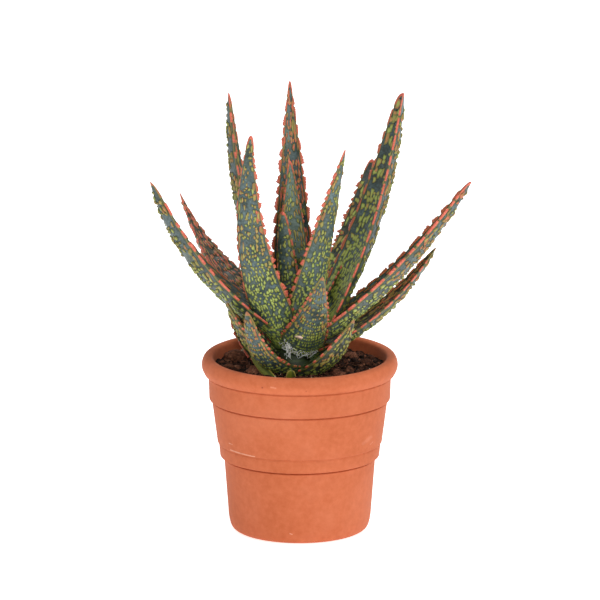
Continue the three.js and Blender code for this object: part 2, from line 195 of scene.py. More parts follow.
def add_mesh(name, points, faces, floats=None):
    """A new smooth object from points in mm, faces and named floats of its points."""
    mesh = bpy.data.meshes.new(name)
    mesh.from_pydata((np.asarray(points) * MM).tolist(), [], faces)
    for key, values in (floats or {}).items():
        layer = mesh.attributes.new(key, "FLOAT", "POINT")
        layer.data.foreach_set("value", np.asarray(values, np.float32))
    mesh.polygons.foreach_set("use_smooth", [True] * len(mesh.polygons))
    mesh.validate()
    mesh.update()
    return add_object(name, mesh)


def ring_faces(rings, count, start=0):
    """Quads that join rings of count points each."""
    faces = []
    for ring in range(rings - 1):
        low = start + ring * count
        for side in range(count):
            after = (side + 1) % count
            faces.append((low + side, low + after, low + count + after, low + count + side))
    return faces


def fan(middle, count, start=0):
    """Triangles from a ring of count points to the one in its middle."""
    return [(middle, start + side, start + (side + 1) % count) for side in range(count)]


def flipped(faces):
    return [face[::-1] for face in faces]


def shifted(faces, start):
    """The faces with their corners counted from start on."""
    return [tuple(start + corner for corner in face) for face in faces]


def join(parts):
    """One mesh of several, each points, faces and named floats, which are 0 where a part has none."""
    counts = [len(points) for points, _, _ in parts]
    starts = [0, *np.cumsum(counts).tolist()]
    faces = [face for start, part in zip(starts, parts) for face in shifted(part[1], start)]
    floats = {key: [] for _, _, named in parts for key in named}
    for key, values in floats.items():
        values += [np.broadcast_to(part[2].get(key, 0), count) for part, count in zip(parts, counts)]
    floats = {key: np.concatenate(values) for key, values in floats.items()}
    return np.concatenate([part[0] for part in parts]), faces, floats


# --- materials

# Ranges of mark over which a fleck's seam, rim and heart take over.
SEAM = (0.03, 0.13)
RIM = (0.2, 0.32)
HEART = (0.48, 0.68)
# Tints of a leaf's skin, each mixed in by its attribute.
TINTS = {
    # brown: dark brown-olive, partly the skin's own tone and partly painted shade on faces in shadow
    "brown": [(0.36, (30, 27, 16)), (0.64, (66, 58, 38))],
    # paler blue-green: painted light on leaves that lie in shade among the others
    "fresh": [(0.36, (92, 116, 98)), (0.64, (134, 158, 146))],
    "pale": [(0.3, (96, 122, 66)), (0.7, (142, 160, 96))],
}
# Marks on the pot's front: (x, z) of both ends and width in mm, strength, colour.
SCUFFS = [
    ((-45.3, 60.9), (-29.5, 60.3), 1.2, 0.45, (222, 176, 150)),
    ((-46.4, 65.4), (-44.4, 65.3), 0.8, 0.45, (222, 176, 150)),
    ((-18.6, 110.8), (-15.6, 110.4), 1.4, 0.3, (226, 160, 130)),
    ((-24.2, 110.1), (-24.2, 110), 1.5, 0.9, (120, 50, 34)),
    ((4.2, 108.6), (4.2, 108.4), 1.2, 0.7, (140, 62, 40)),
    ((-6.5, 8.4), (-4.9, 8), 0.8, 0.5, (222, 176, 150)),
    ((42, 67), (46.5, 69.5), 3.6, 0.14, (220, 158, 130)),
    ((46.5, 64.5), (48, 65.5), 1, 0.3, (220, 158, 130)),
]
SCUFF_FRONT = (-0.005, -0.01)  # y over which those fade in, in m
FLOOR_GLOW = 0.75


class Nodes:
    """Words for building a material's nodes; an input takes a socket or a plain value."""

    def __init__(self, name):
        self.material = bpy.data.materials.new(name)
        self.material.use_nodes = True
        self.tree = self.material.node_tree
        self.shader = self.tree.nodes["Principled BSDF"]
        self.place = self.add("TexCoord").outputs["Object"]

    def give(self, node, inputs):
        for key, value in inputs.items():
            if isinstance(value, bpy.types.NodeSocket):
                self.tree.links.new(value, node.inputs[key])
            else:
                node.inputs[key].default_value = value

    def add(self, kind, inputs=None, **settings):
        node = self.tree.nodes.new("ShaderNode" + kind)
        for key, value in settings.items():
            setattr(node, key, value)
        self.give(node, inputs or {})
        return node

    def attribute(self, name):
        return self.add("Attribute", attribute_name=name).outputs["Fac"]

    def grain(self, scale, detail=4, roughness=0.55, stretch=None):
        """Noise from 0 to 1, with scale in cycles per metre."""
        place = self.place
        if stretch:
            place = self.add("Mapping", {"Vector": place, "Scale": stretch}).outputs["Vector"]
        inputs = {"Vector": place, "Scale": scale, "Detail": detail, "Roughness": roughness}
        return self.add("TexNoise", inputs).outputs["Fac"]

    def cells(self, scale):
        return self.add("TexVoronoi", {"Vector": self.place, "Scale": scale}).outputs["Distance"]

    def ramp(self, value, stops):
        """A colour ramp through stops of (position, sRGB from 0 to 255)."""
        node = self.add("ValToRGB", {"Fac": value})
        elements = node.color_ramp.elements
        while len(elements) < len(stops):
            elements.new(1)
        for element, (position, colour) in zip(elements, stops):
            element.position = position
            element.color = linear(colour)
        return node.outputs["Color"]

    def range(self, value, low, high, new_low=0, new_high=1):
        inputs = {"Value": value, "From Min": low, "From Max": high, "To Min": new_low, "To Max": new_high}
        return self.add("MapRange", inputs).outputs["Result"]

    def blend(self, share, first, second):
        """Mixes two colours, each a socket or sRGB from 0 to 255."""
        inputs = {0: share, 6: first, 7: second}
        inputs = {key: linear(value) if isinstance(value, tuple) else value for key, value in inputs.items()}
        return self.add("Mix", inputs, data_type="RGBA").outputs[2]

    def maths(self, operation, first, second):
        return self.add("Math", {0: first, 1: second}, operation=operation).outputs[0]

    def vector(self, operation, first, second):
        node = self.add("VectorMath", {0: first, 1: second}, operation=operation)
        return node.outputs["Value" if operation in ("DOT_PRODUCT", "DISTANCE") else "Vector"]

    def scuff(self, start, end, width):
        """1 on a fine mark between two (x, z) points in mm on the front, 0 off it."""
        start = Vector((start[0] * MM, 0, start[1] * MM))
        along = Vector((end[0] * MM, 0, end[1] * MM)) - start
        flat = self.vector("MULTIPLY", self.place, (1, 0, 1))
        share = self.vector("DOT_PRODUCT", self.vector("SUBTRACT", flat, start), along / along.length_squared)
        share = self.range(share, 0, 1)
        split = self.add("CombineXYZ", {0: share, 1: share, 2: share}).outputs[0]
        nearest = self.vector("ADD", self.vector("MULTIPLY", split, along), start)
        near = self.range(self.vector("DISTANCE", flat, nearest), 0.5 * width * MM, 0.2 * width * MM)
        depth = self.vector("DOT_PRODUCT", self.place, (0, 1, 0))
        return self.maths("MULTIPLY", near, self.range(depth, *SCUFF_FRONT))

    def surface(self, colour, roughness, **others):
        """The shader's inputs, with underscores for the spaces in the others' names."""
        inputs = {key.replace("_", " "): value for key, value in others.items()}
        self.give(self.shader, {"Base Color": colour, "Roughness": roughness, **inputs})

    def bump(self, height, strength, distance):
        inputs = {"Height": height, "Strength": strength, "Distance": distance}
        self.give(self.shader, {"Normal": self.add("Bump", inputs).outputs["Normal"]})


def linear(colour):
    """Linear RGBA of an sRGB colour from 0 to 255."""
    parts = [part / 255 for part in colour]
    return [part / 12.92 if part <= 0.04045 else ((part + 0.055) / 1.055) ** 2.4 for part in parts] + [1]


def leaf_material():
    """Waxy slate skin; mark runs over a fleck's dark seam and rim to its heart."""
    nodes = Nodes("aloe_skin")
    coarse = nodes.grain(70, 3)
    fine = nodes.grain(650, 4, 0.65)
    mottle = nodes.maths("ADD", nodes.maths("MULTIPLY", coarse, 0.5), nodes.maths("MULTIPLY", fine, 0.5))
    skin = nodes.ramp(mottle, [(0.38, (38, 52, 46)), (0.5, (62, 80, 79)), (0.62, (90, 110, 113))])
    olive = nodes.ramp(mottle, [(0.38, (40, 50, 28)), (0.62, (94, 108, 82))])
    skin = nodes.blend(nodes.range(nodes.grain(36, 2), 0.48, 0.64, 0, 0.5), skin, olive)
    # The brown tint is partly painted shade and the paler blue-green one is painted light.
    for name, stops in TINTS.items():
        skin = nodes.blend(nodes.attribute(name), skin, nodes.ramp(mottle, stops))
    lime = nodes.attribute("lime")
    coral = nodes.ramp(fine, [(0.35, (168, 73, 50)), (0.65, (216, 104, 82))])
    rim = nodes.blend(lime, (112, 102, 42), (116, 128, 52))
    rim = nodes.blend(nodes.attribute("ring"), rim, coral)
    heart = nodes.blend(lime, (122, 102, 46), (162, 176, 88))
    heart = nodes.blend(nodes.attribute("coral"), heart, coral)
    mark = nodes.attribute("mark")
    colour = nodes.blend(nodes.range(mark, *SEAM, 0, 0.8), skin, (40, 54, 32))
    colour = nodes.blend(nodes.range(mark, *RIM), colour, rim)
    colour = nodes.blend(nodes.range(mark, *HEART), colour, heart)
    litter = nodes.attribute("litter")
    caught = nodes.ramp(litter, [(0.45, (232, 198, 174)), (0.9, (250, 249, 246))])
    colour = nodes.blend(nodes.range(litter, 0.1, 0.3), colour, caught)
    roughness = nodes.range(nodes.grain(700, 3), 0.3, 0.7, 0.36, 0.54)
    depth = (0.0012, 0.0008, 0.0005)
    nodes.surface(colour, roughness, Specular_IOR_Level=0.5, Subsurface_Weight=0.06, Subsurface_Radius=depth)
    nodes.bump(nodes.grain(1500, 4), 0.25, 0.0002)
    return nodes.material


def clay_material():
    """Unglazed fired clay: mottled orange with a dusty bloom and sandy grain."""
    nodes = Nodes("terracotta")
    broad = nodes.grain(22, 4, 0.6)
    fine = nodes.grain(260, 5, 0.65)
    colour = nodes.ramp(broad, [(0.3, (169, 84, 45)), (0.52, (176, 90, 53)), (0.75, (183, 100, 66))])
    colour = nodes.blend(nodes.range(fine, 0.35, 0.75, 0, 0.3), colour, (214, 128, 92))
    specks = nodes.range(nodes.cells(330), 0.09, 0.03)
    colour = nodes.blend(nodes.maths("MULTIPLY", specks, 0.35), colour, (150, 74, 46))
    for start, end, width, share, tone in SCUFFS:
        mark = nodes.maths("MULTIPLY", nodes.scuff(start, end, width), nodes.range(fine, 0.3, 0.5, 0.4, 1))
        colour = nodes.blend(nodes.maths("MULTIPLY", mark, share), colour, tone)
    tint = (1, 0.86, 0.76, 1)
    roughness = nodes.range(fine, 0.3, 0.7, 0.72, 0.9)
    nodes.surface(colour, roughness, Specular_IOR_Level=0.25, Sheen_Weight=0.03, Sheen_Tint=tint)
    grooves = nodes.grain(1, 3, 0.6, stretch=(6, 6, 900))
    nodes.bump(nodes.maths("ADD", nodes.grain(1400, 4), grooves), 0.18, 0.0002)
    return nodes.material


def soil_material():
    """Damp potting soil; crumb runs from near black over brown and tan to pale."""
    nodes = Nodes("potting_soil")
    grain = nodes.grain(500, 6, 0.7)
    tone = nodes.maths("ADD", nodes.attribute("crumb"), nodes.range(grain, 0.3, 0.7, -0.16, 0.16))
    dark = [(0, (22, 12, 8)), (0.3, (73, 43, 30)), (0.6, (124, 79, 58))]
    light = [(0.82, (160, 126, 98)), (1, (214, 202, 184))]
    nodes.surface(nodes.ramp(tone, dark + light), 0.95, Specular_IOR_Level=0.15)
    nodes.bump(nodes.grain(1200, 5, 0.7), 0.6, 0.0006)
    return nodes.material


def stem_material():
    """Fibrous olive stem; young is how pale the shoots at its foot are."""
    nodes = Nodes("aloe_stem")
    rings = nodes.grain(1, 4, 0.6, stretch=(60, 60, 500))
    colour = nodes.ramp(rings, [(0.35, (30, 30, 18)), (0.55, (52, 66, 36)), (0.8, (92, 108, 62))])
    young = nodes.attribute("young")
    green = nodes.ramp(young, [(0.3, (58, 70, 24)), (0.6, (110, 116, 26)), (1, (178, 160, 80))])
    colour = nodes.blend(nodes.range(young, 0.05, 0.2), colour, green)
    nodes.surface(colour, 0.6)
    nodes.bump(rings, 0.5, 0.0006)
    return nodes.material


def floor_material():
    nodes = Nodes("studio_floor")
    colour = nodes.ramp(nodes.grain(3, 2), [(0, (248, 248, 248)), (1, (252, 252, 252))])
    white = (1, 1, 1, 1)
    nodes.surface(colour, 0.9, Specular_IOR_Level=0.1, Emission_Color=white, Emission_Strength=FLOOR_GLOW)
    return nodes.material


# --- leaf shape

NECK_END = 0.16  # share of a leaf's length over which its foot widens
THINNING = (1.3, 0.8)  # powers by which it thins towards the tip
CHANNEL_POWER = 1.5  # power by which its channel changes along it
STEP = 1e-3  # step in t and w for the skin's normals


def leaf_lines(facts):
    """Root, control point and tip of the midline, and the level direction across the leaf."""
    heading = math.radians(facts["heading"])
    out = np.array([math.cos(heading), math.sin(heading), 0])
    across = np.array([-out[1], out[0], 0])
    foot = np.array([STEM["x"], STEM["y"], STEM["foot"]])
    up = np.array([0, 0, 1])
    root = foot + out * facts["stand"] + up * facts["insert"]
    tip = foot + out * facts["reach"] + up * facts["rise"]
    below = unit(np.cross(unit(tip - root), across))
    if below @ out < 0:
        below = -below
    bend = (root + tip) / 2 + below * facts["arch"] + across * facts["sweep"]
    return root, bend, tip, across


def leaf_frames(facts, t):
    """Place of the midline at each t, with the directions across and out of the upper face."""
    root, bend, tip, across = leaf_lines(facts)
    t = t[..., None]
    point = curve_at(root, bend, tip, t)
    along = unit((1 - t) * (bend - root) + t * (tip - bend))
    flat = unit(across - along * (along @ across)[..., None])
    raised = np.cross(along, flat)
    turn = np.radians(mix(facts["twist"][0], facts["twist"][1], t))
    side = flat * np.cos(turn) + raised * np.sin(turn)
    face = raised * np.cos(turn) - flat * np.sin(turn)
    return point, side, face


def leaf_length(facts):
    point = leaf_frames(facts, np.linspace(0, 1, 100))[0]
    return float(np.linalg.norm(np.diff(point, axis=0), axis=1).sum())


def leaf_sizes(facts, t):
    """Half width, thickness and channel depth at each t."""
    necking = mix(facts["neck"], 1, smooth(t, 0, NECK_END))
    half = 0.5 * facts["width"] * necking * (1 - t ** facts["belly"]) ** facts["taper"]
    thick = facts["thick"] * (1 - t ** THINNING[0]) ** THINNING[1]
    channel = mix(facts["channel"][1], facts["channel"][0], (1 - t) ** CHANNEL_POWER)
    return half, thick, channel


def paleness(facts, t):
    """1 on the pale foot of the leaf, 0 above it."""
    return 1 - smooth(t, 0.4 * facts["pale"], facts["pale"])


def unevenness(facts, t, w):
    """Slow swells and dents of the skin, in mm."""
    s = t * 160 + facts["heading"]
    return 0.16 * np.sin(0.33 * s + 2.1 * w) + 0.12 * np.sin(0.71 * s - 3.7 * w + 1)


def leaf_skin(facts, t, w, upper):
    """Points of a face's skin at t along the leaf and w, from -1 to 1, across it."""
    point, side, face = leaf_frames(facts, t)
    half, thick, channel = leaf_sizes(facts, t)
    edge = np.minimum(MARGIN, 0.5 * thick)
    round_ = np.clip(1 - w**2, 0, 1)
    height = channel * half * w**2 + unevenness(facts, t, w) * smooth(thick, 0, 3)
    if upper:
        height = height + edge + (UPPER_SHARE * thick - edge) * round_
    else:
        height = height - edge - np.maximum(LOWER_SHARE * thick - edge, 0) * round_**0.6
    return point + side * (half * w)[..., None] + face * height[..., None]


def skin_normal(facts, t, w, upper):
    """Outward normal of the skin, by small steps."""
    before, after = np.clip(t - STEP, 0, 1), np.clip(t + STEP, 0, 0.999)
    along = leaf_skin(facts, after, w, upper) - leaf_skin(facts, before, w, upper)
    across = leaf_skin(facts, t, w + STEP, upper) - leaf_skin(facts, t, w - STEP, upper)
    normal = unit(np.cross(along, across))
    return normal if upper else -normal


def over_skin(facts, t, w, upper, height):
    return leaf_skin(facts, t, w, upper) + skin_normal(facts, t, w, upper) * height


# --- leaf margins

TIP_ROUNDING = 3  # length over which a tip's margin rounds off, in mm
FIRST_TOOTH = 0.05  # share of the leaf's length under its first tooth
LAST_TOOTH = 6  # least distance of a tooth's start from the tip, in mm
BARE_TIP = (12, 7)  # where the teeth die away, in mm from the tip
TOOTH_PEAKS = [0.1, 0.3, 0.9]  # where along itself a tooth may be tallest


def tooth_line(facts, places, length, tall, draw):
    """Height of the teeth at places along a margin, in mm, and how coral it is there."""
    height = np.zeros_like(places)
    coral = np.zeros_like(places)
    start = length * FIRST_TOOTH
    while start < length - LAST_TOOTH:
        t = start / length
        span = draw.uniform(*facts["span"]) * mix(0.45, 1, smooth(t, 0.02, 0.25)) * mix(1, 0.8, t)
        peak = tall * draw.uniform(0.6, 1.15) * mix(0.5, 1, smooth(t, 0, 0.2))
        peak *= mix(1, 0.55, smooth(t, 0.6, 1))
        lean = draw.choice(TOOTH_PEAKS)
        x = (places - start) / span
        inside = (x > 0) & (x < 1)
        x = np.clip(x, 0, 1)
        lobe = np.where(x < lean, x / lean, (1 - x) / (1 - lean)) ** 0.4
        notches = np.abs(np.sin((places + draw.uniform(0, 3)) * draw.uniform(1, 2.2)))
        ragged = 1 - 0.3 * notches - 0.12 * np.sin(5.3 * places)
        height = np.where(inside, np.maximum(height, peak * lobe * ragged), height)
        coral = np.where(inside, np.maximum(coral, smooth(lobe, 0.2, 0.5)), coral)
        start += span + facts["gap"] * draw.uniform(0.1, 1.6)
    near_tip = smooth(places, length - BARE_TIP[0], length - BARE_TIP[1])
    cap = np.clip((places - length + TIP_ROUNDING) / TIP_ROUNDING, 0, 1)
    height = np.maximum(height * (1 - near_tip), facts["blunt"] * near_tip * np.sqrt(1 - cap**2))
    return height, np.maximum(coral * (1 - near_tip), facts["tip"] * near_tip)


# --- leaf flecks

# Kinds of flecks, each as (at the foot, towards the tip) pairs: distance of the rows, distance in a
# row, length and width in mm, then the share of bare places, of coral and of lime.
FLECKS = {
    "usual": ((2.6, 3.4), (1.9, 2.2), (2.8, 3.2), (1.65, 1.45), (0.1, 0.3), (0, 0.52), (1.1, 0.5)),
    "dense": ((2.6, 3.2), (1.8, 2), (2.8, 3), (1.65, 1.5), (0.03, 0.12), (0, 0.4), (1.2, 0.6)),
    "blotched": ((2.9, 3.7), (2.2, 2.4), (4, 4.4), (2.8, 2.4), (0.06, 0.36), (-0.2, 0.5), (1.4, 1)),
    "streaked": ((3.8, 4), (2, 2.2), (3.8, 4.8), (1.4, 1.5), (0.2, 0.12), (0.4, 1), (0.5, 0.2)),
    "lined": ((2.8, 3.6), (1.6, 2), (3, 3.8), (1.2, 1.2), (0.08, 0.28), (0, 0.45), (1.1, 0.6)),
    "dotted": ((2.2, 2.8), (1.4, 1.7), (1.7, 2.3), (1.1, 1.1), (0.1, 0.3), (0, 0.2), (1.2, 0.8)),
    "banded": ((2.9, 3.6), (1.6, 1.8), (2.8, 2.8), (1.5, 1.3), (0.05, 0.14), (0, 0.5), (1.2, 0.4)),
}
ROW_SPREAD = {"banded": 0.04}  # how far flecks leave their row, as a share of the rows' distance
ROW_BOW = {"banded": -3}  # how far the middle of a row lies off its ends, in mm
FULL_BOW = 14  # half width of a leaf at which its rows have their full bow, in mm
FLECK_ROWS = (0.02, 0.96)  # where rows start, as shares of a leaf's length
LAST_FLECK = 0.965  # where its flecks end
FLECK_REACH = 0.92  # w of the outermost flecks


def fleck_places(facts, length, upper, draw):
    """Flecks in loose rows across the leaf: t, w, length, width, height, coral, ring and lime of each."""
    name = facts["upper" if upper else "lower"]
    phase = draw.uniform(0, 2 * math.pi, 2)
    flecks = []
    start = FLECK_ROWS[0] * length
    while start < FLECK_ROWS[1] * length:
        half = float(leaf_sizes(facts, np.array(start / length))[0])
        share = float(smooth(np.array(start / length), 0.12, 0.66))
        gap, pitch, long, wide, bare, red, lime = (mix(foot, tip, share) for foot, tip in FLECKS[name])
        gap *= draw.uniform(0.8, 1.25)
        columns = max(2, round(2 * half / pitch))
        slant = draw.uniform(-1.6, 1.6)
        for column in range(columns):
            w = FLECK_REACH * (2 * (column + 0.5 + draw.uniform(-0.35, 0.35)) / columns - 1)
            place = start + slant * w + draw.normal(0, ROW_SPREAD.get(name, 0.2) * gap)
            place += ROW_BOW.get(name, 0) * (1 - w * w) * min(1, half / FULL_BOW)
            patch = math.sin(0.19 * place + 2.4 * w + phase[0]) + math.sin(0.31 * place - 3.1 * w + phase[1])
            bare_here = draw.random() < bare * (1 + 0.6 * patch)
            if bare_here or not FLECK_ROWS[0] < place / length < LAST_FLECK:
                continue
            edge = float(smooth(np.array(abs(w)), 0.5, 0.85))
            stretch = draw.uniform(0.45, 1.35) * (1 + 0.7 * edge * share)
            proud = (0.3 if upper else mix(0.4, facts["warts"], share)) * draw.uniform(0.6, 1.2)
            redness = 1.3 * (red * facts["coral"] + 0.3 * edge * share) * draw.uniform(0.1, 1.4) - 0.25
            heart, ring = draw.choice([(1, 0.2), (0.1, 0.8)]) * redness
            limeness = lime + draw.uniform(-0.3, 0.3) - 0.2 * edge
            size = (long * stretch, wide * draw.uniform(0.65, 1.3))
            flecks.append((place / length, w, *size, proud, heart, ring, limeness))
        start += gap
    return np.array(flecks)


# A fleck's rings, out to its dark seam: radius and height as shares of its own, and mark.
DOME = [(0, 1, 1), (0.5, 0.85, 0.68), (0.84, 0.45, 0.42), (1.06, 0.12, 0.17), (1.4, -0.05, 0.04)]
DOME_SIDES = 7
DOME_ROOT = 0.9  # greatest depth of a fleck's root under the skin, in mm
DOME_ROOT_MARK = 0.1


def fleck_domes(facts, length, upper, draw):
    """Points, faces and floats of one face's raised flecks, each a low closed lens."""
    t, w, long, wide, proud, red, ring_red, lime = fleck_places(facts, length, upper, draw).T
    half, thick, _ = leaf_sizes(facts, t)
    angles = turns(DOME_SIDES)
    ragged = 1 + 0.22 * np.sin(3 * angles + 7 * w[:, None]) + 0.14 * np.sin(2 * angles + 40 * t[:, None])
    layers = [over_skin(facts, t, w, upper, proud[:, None])[:, None, :]]
    for radius, height, _ in DOME[1:]:
        dt = radius * 0.5 * long[:, None] * np.cos(angles) * ragged / length
        dw = radius * 0.5 * wide[:, None] * np.sin(angles) * ragged / half[:, None]
        at_t = np.clip(t[:, None] + dt, 0, 0.985)
        at_w = np.clip(w[:, None] + dw, -0.97, 0.97)
        layers.append(over_skin(facts, at_t, at_w, upper, (proud[:, None] * height)[..., None]))
    sunk = np.minimum(DOME_ROOT, 0.25 + 0.35 * thick * (1 - w**2))
    layers.append(over_skin(facts, t, w, upper, -sunk[:, None])[:, None, :])
    points = np.concatenate(layers, axis=1)
    count, per = points.shape[:2]
    red, ring_red, lime = np.clip([red, ring_red, lime], 0, 1)
    marks = [DOME[0][2]] + [mark for _, _, mark in DOME[1:] for _ in range(DOME_SIDES)] + [DOME_ROOT_MARK]
    lens = fan(0, DOME_SIDES, 1) + flipped(ring_faces(len(DOME) - 1, DOME_SIDES, 1))
    lens += flipped(fan(per - 1, DOME_SIDES, per - 1 - DOME_SIDES))
    faces = [face for first in range(0, count * per, per) for face in shifted(lens, first)]
    floats = {
        "mark": (np.array(marks) * (1 - 0.05 * red[:, None])).reshape(-1),
        "coral": np.repeat(red, per),
        "ring": np.repeat(ring_red, per),
        "lime": np.repeat(lime, per),
        # brown tint of the flecks' skin, partly painted shade
        "brown": facts["upper_brown" if upper else "lower_brown"],
        "pale": np.repeat(paleness(facts, t), per),
        # share of paler blue-green, painted light
        "fresh": facts["fresh"],
    }
    return points.reshape(-1, 3), faces if upper else flipped(faces), floats


# --- one leaf

ROW_STEP = 0.6  # distance of the rows along a leaf, in mm
MARGIN_REACH = 0.12  # least width of a margin, in mm
# Steps round a margin: share of the tooth's height, lift in half thicknesses, mark
MARGIN_STEPS = [(0.12, 1.3, 0.5), (0.6, 1.1, 1), (1, 0, 1), (0.6, -1.1, 1), (0.12, -1.3, 0.5)]
EDGE_STEPS = [0, 0.4, 0.8, 1.3, 2]  # distance of the outermost columns from the margin, in mm
INNER_COLUMNS = 13  # columns across a face between those
NARROW = 6  # half width of a leaf under which these close up, in mm
THREAD = 0.15  # radius of a thread, in mm
TUFT = (0.1, -0.62)  # t and w of the tuft of threads
TUFT_SPREAD = (0.9, 0.3, 2.6)  # of the threads in the tuft, in mm
SLANT = np.array([0.31, 0.95, 0.05])  # a direction that no thread keeps to
TRAILING = 13  # one thread in so many trails
FLAKE = {"t": 0.295, "w": -0.42, "wide": 5, "tall": 3, "corners": 9, "top": 0.9, "bottom": 0.1}


def column_shares(half):
    """w of the columns across one face, from 1 to -1, for each row."""
    near = [1 - step * np.minimum(1, half / NARROW) / half for step in EDGE_STEPS]
    inner = [near[-1] * share for share in np.linspace(1, -1, INNER_COLUMNS + 2)[1:-1]]
    return near + inner + [-w for w in reversed(near)]


def blade(facts, length, draw):
    """Points, faces and floats of the blade with its toothed margins."""
    rows = int(length / ROW_STEP)
    places = np.linspace(0, length - 0.3, rows)
    t = places / length
    half, thick, channel = leaf_sizes(facts, t)
    point, side, face = leaf_frames(facts, t)
    right = tooth_line(facts, places, length, facts["tooth"][1], draw)
    left = tooth_line(facts, places, length, facts["tooth"][0], draw)
    columns = []  # points, mark, coral and brown of each

    def skin_columns(shares, upper):
        # share of the brown tint in each column, partly painted shade
        brown = np.full(rows, facts["upper_brown" if upper else "lower_brown"])
        for w in shares:
            inside = (1 - np.abs(w)) * half
            coral = (left if w[0] > 0 else right)[1]
            rim = 0.4 * (1 - smooth(inside, 0.2, 0.6))
            mark = np.maximum(rim, 0.8 * coral * (1 - smooth(inside, 0.2, 0.5)))
            columns.append((leaf_skin(facts, t, w, upper), mark, coral, brown))

    def margin_columns(sign, height, coral):
        edge = np.minimum(MARGIN, 0.5 * thick)
        for out, lift, mark in MARGIN_STEPS:
            reach = MARGIN_REACH + height * out
            stout = np.minimum(1, 0.6 + height) + facts["swell"] * coral
            rise = channel * (half + reach) - edge * lift * sign * stout
            points = point + side * (sign * (half + reach))[:, None] + face * rise[:, None]
            columns.append((points, mix(0.22, mark, coral), coral, np.zeros(rows)))

    shares = column_shares(half)
    skin_columns(shares, True)
    margin_columns(-1, *right)
    skin_columns(shares[::-1], False)
    margin_columns(1, *left)
    points, mark, coral, brown = (np.stack(values, axis=1) for values in zip(*columns))
    near_tip = smooth(places, length - 3.2, length - 1.6)[:, None]
    floats = {
        "mark": np.maximum(mark, near_tip),
        "coral": np.maximum(coral, facts["tip"] * near_tip),
        "lime": np.repeat(0.4 - 0.4 * smooth(t, 0.1, 0.6), len(columns)),
        "brown": brown,
        "pale": np.repeat(paleness(facts, t), len(columns)),
    }
    ends = {"mark": (1, 0), "coral": (facts["tip"], 0), "pale": (0, 1), "lime": (0, 1)}  # tip and root
    floats = {key: np.append(values, ends.get(key, (0, 0))) for key, values in floats.items()}
    count, last = len(columns), points.size // 3
    faces = flipped(ring_faces(rows, count) + fan(last, count, last - count)) + fan(last + 1, count)
    tip, root = leaf_frames(facts, np.array([1]))[0], points[0].mean(axis=0)[None]
    points = np.concatenate([points.reshape(-1, 3), tip, root])
    # with the share of paler blue-green painted light
    return points, faces, {**floats, "fresh": facts["fresh"]}


def tube(line, radius):
    """Points and faces of a fine three-sided tube along a line."""
    forward = unit(np.gradient(line, axis=0))
    first = unit(np.cross(forward, SLANT))
    second = np.cross(forward, first)
    angles = turns(3)[:, None]
    points = line[:, None] + radius * (first[:, None] * np.cos(angles) + second[:, None] * np.sin(angles))
    last = 3 * len(line) - 1
    return points.reshape(-1, 3), ring_faces(len(line), 3) + [(2, 1, 0), (last - 2, last - 1, last)]


def threads(facts, draw):
    """Lines of fine threads on the lower face: a tuft, and strands that trail from it."""
    t, w = np.array([TUFT[0]]), np.array([TUFT[1]])
    middle, out = leaf_skin(facts, t, w, False)[0], skin_normal(facts, t, w, False)[0]
    lines = []
    for thread in range(facts["threads"]):
        if thread % TRAILING:
            place = middle + out * draw.uniform(0.6, 2.2) + draw.normal(0, 1, 3) * TUFT_SPREAD
            lines.append(place + np.cumsum(draw.normal(0, 1, (8, 3)) * (0.5, 0.15, 0.8), axis=0))
            continue
        at_t, at_w = TUFT[0] + draw.uniform(-0.04, 0.02), TUFT[1] + draw.uniform(0, 0.2)
        swing = draw.uniform(0.02, 0.035)
        phase, off = draw.uniform(0, 6), draw.uniform(0.5, 2.2)
        line = []
        for step in range(26):
            ts = np.array([max(0.02, at_t + swing * math.sin(phase + 0.7 * step) + draw.normal(0, 0.012))])
            ws = np.array([min(0.85, at_w + 0.05 * step + draw.normal(0, 0.02))])
            line.append(over_skin(facts, ts, ws, False, off)[0])
        lines.append(np.array(line))
    return lines


def husk_flake(facts, draw):
    """Points and faces of a thin ragged flake on the lower face."""
    count = FLAKE["corners"]
    angles = turns(count)
    half, length = leaf_sizes(facts, np.array(FLAKE["t"]))[0], leaf_length(facts)
    ragged = draw.uniform(0.7, 1.15, count)
    t = FLAKE["t"] + (0.22 * np.cos(angles) + np.sin(angles)) * 0.5 * FLAKE["tall"] * ragged / length
    w = FLAKE["w"] + np.cos(angles) * 0.5 * FLAKE["wide"] * ragged / half
    layers = [over_skin(facts, t, w, False, FLAKE[layer]) for layer in ("top", "bottom")]
    faces = [tuple(range(count)), tuple(reversed(range(count, 2 * count)))]
    return np.concatenate(layers), faces + flipped(ring_faces(2, count))


def make_leaf(name, facts, seed):
    draw = np.random.default_rng(seed)
    length = leaf_length(facts)
    parts = [blade(facts, length, draw)]
    parts += [fleck_domes(facts, length, upper, draw) for upper in (True, False)]
    if facts["threads"]:
        parts += [(*tube(line, THREAD), {"litter": 1}) for line in threads(facts, draw)]
        parts.append((*husk_flake(facts, draw), {"litter": 0.4}))
    return add_mesh(name, *join(parts))


# --- pot

POT_SEGMENTS = 256
POT_WOBBLE = 0.0012  # how far it is out of round, as a share of its radius


def rounded(corners, steps=6):
    """A line through (radius, z, rounding) corners, rounded at all but its ends."""
    places = [np.array(corner[:2]) for corner in corners]
    line = places[:1]
    for before, here, after, (_, _, rounding) in zip(places, places[1:], places[2:], corners[1:]):
        ways = before - here, after - here
        start, end = (here + way * min(rounding / np.linalg.norm(way), 0.49) for way in ways)
        line += [curve_at(start, here, end, share) for share in np.linspace(0, 1, steps)]
    return np.array(line + places[-1:])


